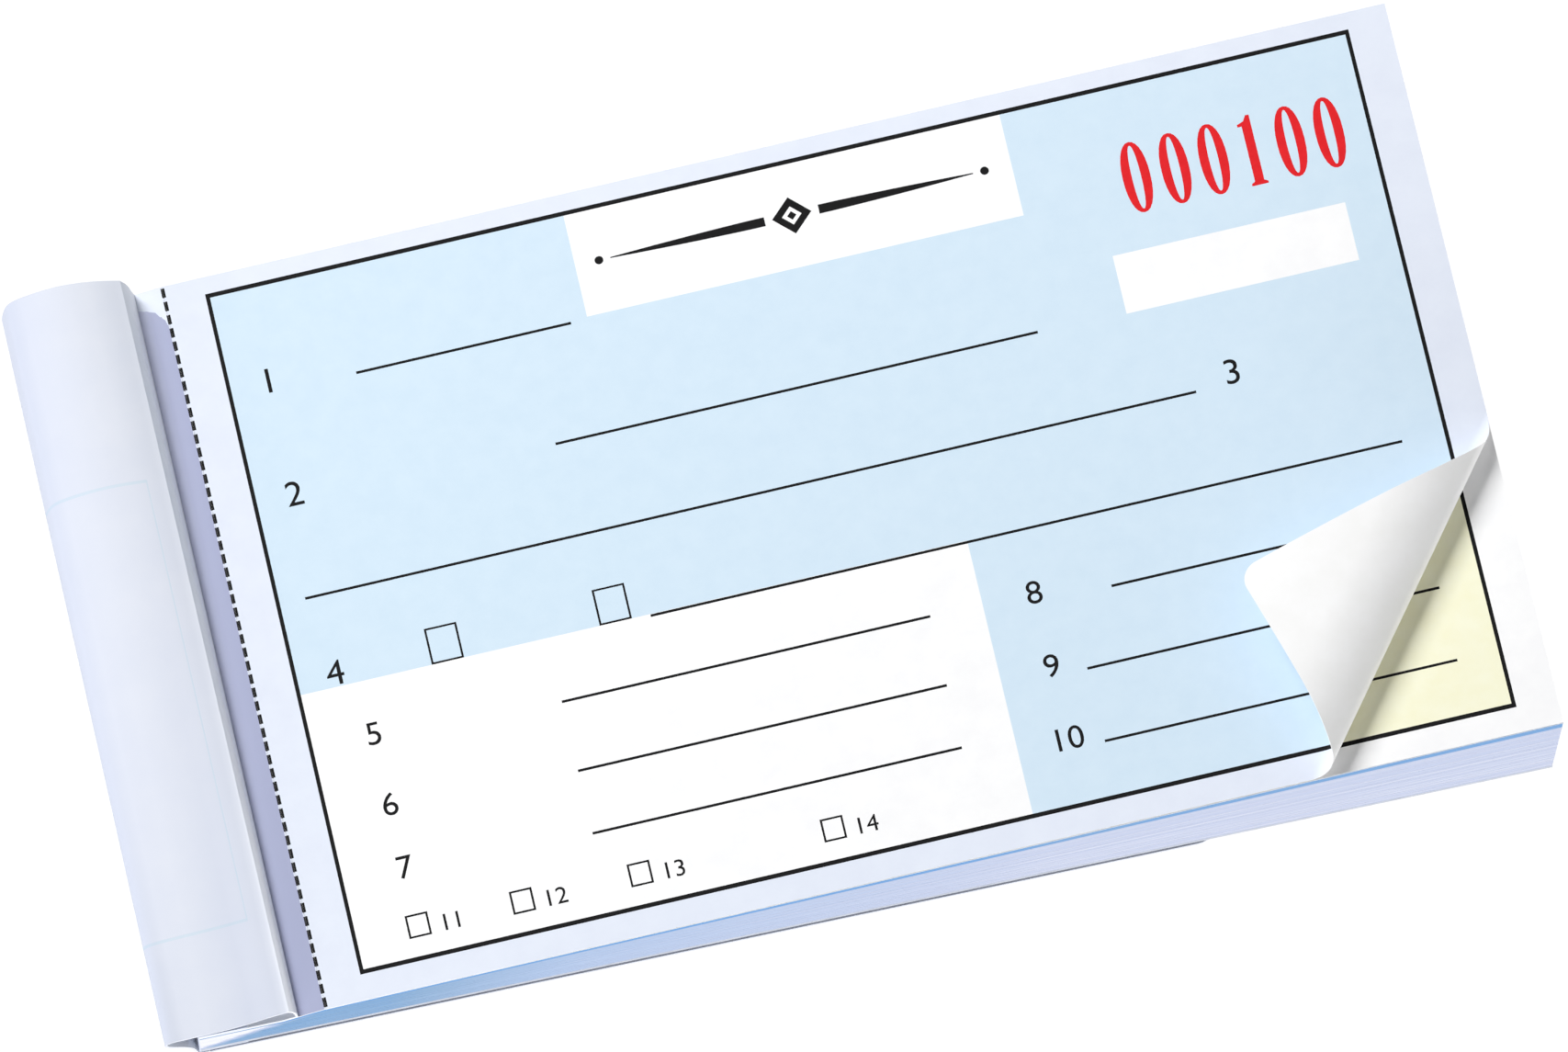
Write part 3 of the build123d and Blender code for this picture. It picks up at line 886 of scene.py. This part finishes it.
bpy.ops.mesh.flip_normals()
bpy.ops.object.mode_set(mode="OBJECT")
sides = (card, faint_rule, card)
for material in sides:
    flap.data.materials.append(material)
for face in flap.data.polygons:
    x, y, z = face.center
    level = x < frame_end and on_level_rule(y)
    upright = frame_start < x < frame_end and FRAME_NEAR < y < FRAME_FAR
    face.material_index = 1 if level or upright else 0
soil_and_painted_shade = flap.data.attributes.new("soil_and_painted_shade", "FLOAT", "POINT")
for point in flap.data.vertices:
    soil_and_painted_shade.data[point.index].value = SOIL_FOLD if point.co.x < end_x - 10 else SOIL_EDGE
    point.co = point.co * MM
apply_modifier(
    flap, "SOLIDIFY", thickness=CARD * MM, offset=-1,
    material_offset=len(sides), material_offset_rim=len(sides),
)
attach(flap, "cover_flap")
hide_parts("front_cover_flap")
print("flap faces:", len(flap.data.polygons))

# %% [markdown]
# ## Backing board and binding tape
# The back cover is a plain grey board of recycled fibre with darker and lighter flecks. The tape round
# the spine is creped paper, wrinkled across its length about every half millimetre. Both keep the
# frame's own shape, so they only need their finish.

# %% Finish the board and the tape
board_grey = paper_finish(
    "grey_chipboard", "#BDC2CE", "#CBD0DC", 0.92, cloud=1.6, tooth=0.35, bump=0.3, specular=0.2
)
tape_blue = paper_finish(
    "creped_paper_tape", "#D3DBEF", "#DFE6F5", 0.75, cloud=1.2, tooth=0.5, bump=0.35
)
for node, material in (("back_cover", board_grey), ("binding_tape", tape_blue)):
    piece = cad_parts[node]
    piece.data.materials.clear()
    piece.data.materials.append(material)
print("finished from the frame: back_cover, binding_tape")

# %% [markdown]
# ## Staples
# Two staples of flat galvanised wire hold the book: a crown on the cover's margin, two legs through the
# sheets, and ends bent inwards under the board. Each is one cube stretched to the crown, with its end
# faces extruded down for the legs and in for the clinched ends, and all edges rounded with a bevel.

# %% Galvanised wire
SPANGLE = 0.4
wire = bpy.data.materials.new("galvanised_steel_wire")
wire.use_nodes = True
tree = wire.node_tree
shader = tree.nodes["Principled BSDF"]
place = add_node(tree, "ShaderNodeTexCoord").outputs["Object"]
spangle = add_node(
    tree, "ShaderNodeTexNoise", {"Scale": 1 / (SPANGLE * MM), "Detail": 3.0}, {"Vector": place}
)
band = add_node(tree, "ShaderNodeValToRGB", None, {"Fac": spangle.outputs["Fac"]})
set_ramp(band, [(0.3, "#A9ADB2"), (0.7, "#CED2D6")])
dull = add_node(
    tree, "ShaderNodeMapRange", {"To Min": 0.26, "To Max": 0.46}, {"Value": spangle.outputs["Fac"]}
)
tree.links.new(band.outputs["Color"], shader.inputs["Base Color"])
tree.links.new(dull.outputs["Result"], shader.inputs["Roughness"])
shader.inputs["Metallic"].default_value = 1.0

# %% Build the staples
WIRE_WIDE, WIRE_THICK, WIRE_BEVEL = 0.5, 0.4, 0.12
SPAN, CLINCH, STAPLE_Y = 11.0, 3.5, 20.0
low, high = (corner.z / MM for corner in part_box("staples"))
wire_x = (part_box("staples")[0].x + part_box("staples")[1].x) / 2 / MM


def select_faces(piece, test):
    """Selects the faces whose middle and normal pass a test, from object mode."""
    bpy.ops.object.mode_set(mode="EDIT")
    bpy.ops.mesh.select_all(action="DESELECT")
    bpy.ops.object.mode_set(mode="OBJECT")
    for face in piece.data.polygons:
        face.select = test(face.center, face.normal)
    bpy.ops.object.mode_set(mode="EDIT")


def push_out(x, y, z):
    """Extrudes the selected faces by this much."""
    bpy.ops.mesh.extrude_region_move(TRANSFORM_OT_translate={"value": (x, y, z)})


def staple(middle):
    """One staple, drawn in millimetres and scaled down at the end."""
    bpy.ops.object.select_all(action="DESELECT")
    crown = (wire_x, middle, high - WIRE_THICK / 2)
    bpy.ops.mesh.primitive_cube_add(size=1, location=crown, scale=(WIRE_WIDE, SPAN, WIRE_THICK))
    piece = bpy.context.object
    bpy.ops.object.transform_apply(location=True, rotation=True, scale=True)
    for side in (-1, 1):
        select_faces(piece, lambda c, n: n.y * side > 0.9)
        push_out(0, side * WIRE_WIDE, 0)
        bpy.ops.object.mode_set(mode="OBJECT")
        select_faces(piece, lambda c, n: n.z < -0.9 and (c.y - middle) * side > SPAN / 2)
        push_out(0, 0, -(high - low - 2 * WIRE_THICK))
        push_out(0, 0, -WIRE_THICK)
        bpy.ops.object.mode_set(mode="OBJECT")
        select_faces(
            piece,
            lambda c, n: n.y * side < -0.9 and c.z < low + WIRE_THICK and (c.y - middle) * side > 4,
        )
        push_out(0, -side * CLINCH, 0)
        bpy.ops.object.mode_set(mode="OBJECT")
    for point in piece.data.vertices:
        point.co = point.co * MM
    apply_modifier(piece, "BEVEL", width=WIRE_BEVEL * MM, segments=2, limit_method="ANGLE")
    return piece


staples = staple(-STAPLE_Y)
other = staple(STAPLE_Y)
pick(staples, other)
bpy.ops.object.join()
staples.name = "wire_staples"
staples.data.materials.append(wire)
pick(staples)
bpy.ops.object.shade_smooth_by_angle(angle=math.radians(40))
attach(staples, "book")
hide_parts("staples")
print("staple faces:", len(staples.data.polygons))

# %% [markdown]
# ## Floor, light and camera
# The book is photographed from almost straight above, a little towards its near edge, by a long lens on
# a white ground that is lit from below, so that it stays white right up to the book. A soft box at the
# far left gives the shadows beside the roll and under the curled corner. A low strip on the near side
# lights the edges of the sheets, a weak one on the right opens the shadows, and a dim even surround
# fills the rest.

# %% Floor
FLOOR_DROP, FLOOR_GLOW = 0.25, 1.0
ground = paper_finish("opal_light_table", "#3A3A3B", "#404041", 0.9, cloud=40.0, tooth=1.0, bump=0.02)
bpy.ops.object.select_all(action="DESELECT")
bpy.ops.mesh.primitive_plane_add(size=6, location=(0, 0, -FLOOR_DROP * MM))
floor = bpy.context.object
floor.name = "studio_floor"
glow = ground.node_tree.nodes["Principled BSDF"].inputs
glow["Emission Color"].default_value = (1.0, 1.0, 1.0, 1.0)
glow["Emission Strength"].default_value = FLOOR_GLOW
floor.data.materials.append(ground)

# %% Light
ARM, SURROUND = 1.2, 0.2
scene = bpy.context.scene
scene.view_settings.view_transform = "Standard"
world = bpy.data.worlds.new("even_surround")
world.use_nodes = True
backdrop = world.node_tree.nodes["Background"].inputs
backdrop["Color"].default_value = (0.97, 0.98, 1.0, 1.0)
backdrop["Strength"].default_value = SURROUND
scene.world = world


def lamp(name, aim_from, wide, tall, watts):
    """A soft box at arm's length that looks at the middle of the book from one direction."""
    direction = Vector(aim_from).normalized()
    light = bpy.data.lights.new(name, "AREA")
    light.shape = "RECTANGLE"
    light.size, light.size_y = wide, tall
    light.energy = watts
    holder = bpy.data.objects.new(name, light)
    holder.location = direction * ARM
    holder.rotation_euler = direction.to_track_quat("Z", "Y").to_euler()
    bpy.context.collection.objects.link(holder)


lamp("key_from_far_left", (-0.48, 0.60, 0.88), 0.5, 0.5, 14.9)
lamp("low_strip_on_near_side", (-0.4, -0.92, 0.12), 1.0, 0.22, 8.0)
lamp("low_strip_on_right", (1.0, -0.25, 0.12), 1.0, 0.22, 3.0)

# %% Camera
SENSOR, PICTURE_WIDE, FOCAL_PIXELS = 36.0, 1707, 27919.2
AIM, STAND_OFF = Vector((0.502, 0.079, 6.0)) * MM, 2.4
azimuth, tilt, turn = (math.radians(a) for a in (-9.474, 22.989, -3.078))
level = math.sin(tilt)
back = Vector((math.sin(azimuth) * level, -math.cos(azimuth) * level, math.cos(tilt)))
right = Vector((math.cos(azimuth), math.sin(azimuth), 0))
up = back.cross(right)
right, up = right * math.cos(turn) + up * math.sin(turn), up * math.cos(turn) - right * math.sin(turn)
lens = bpy.data.cameras.new("long_lens")
lens.sensor_fit = "HORIZONTAL"
lens.sensor_width = SENSOR
lens.lens = FOCAL_PIXELS * SENSOR / PICTURE_WIDE
camera = bpy.data.objects.new("camera", lens)
turned = Matrix((right, up, back)).transposed().to_4x4()
camera.matrix_world = Matrix.Translation(AIM + back * STAND_OFF) @ turned
bpy.context.collection.objects.link(camera)
scene.camera = camera
print("lens in millimetres:", round(lens.lens, 1))
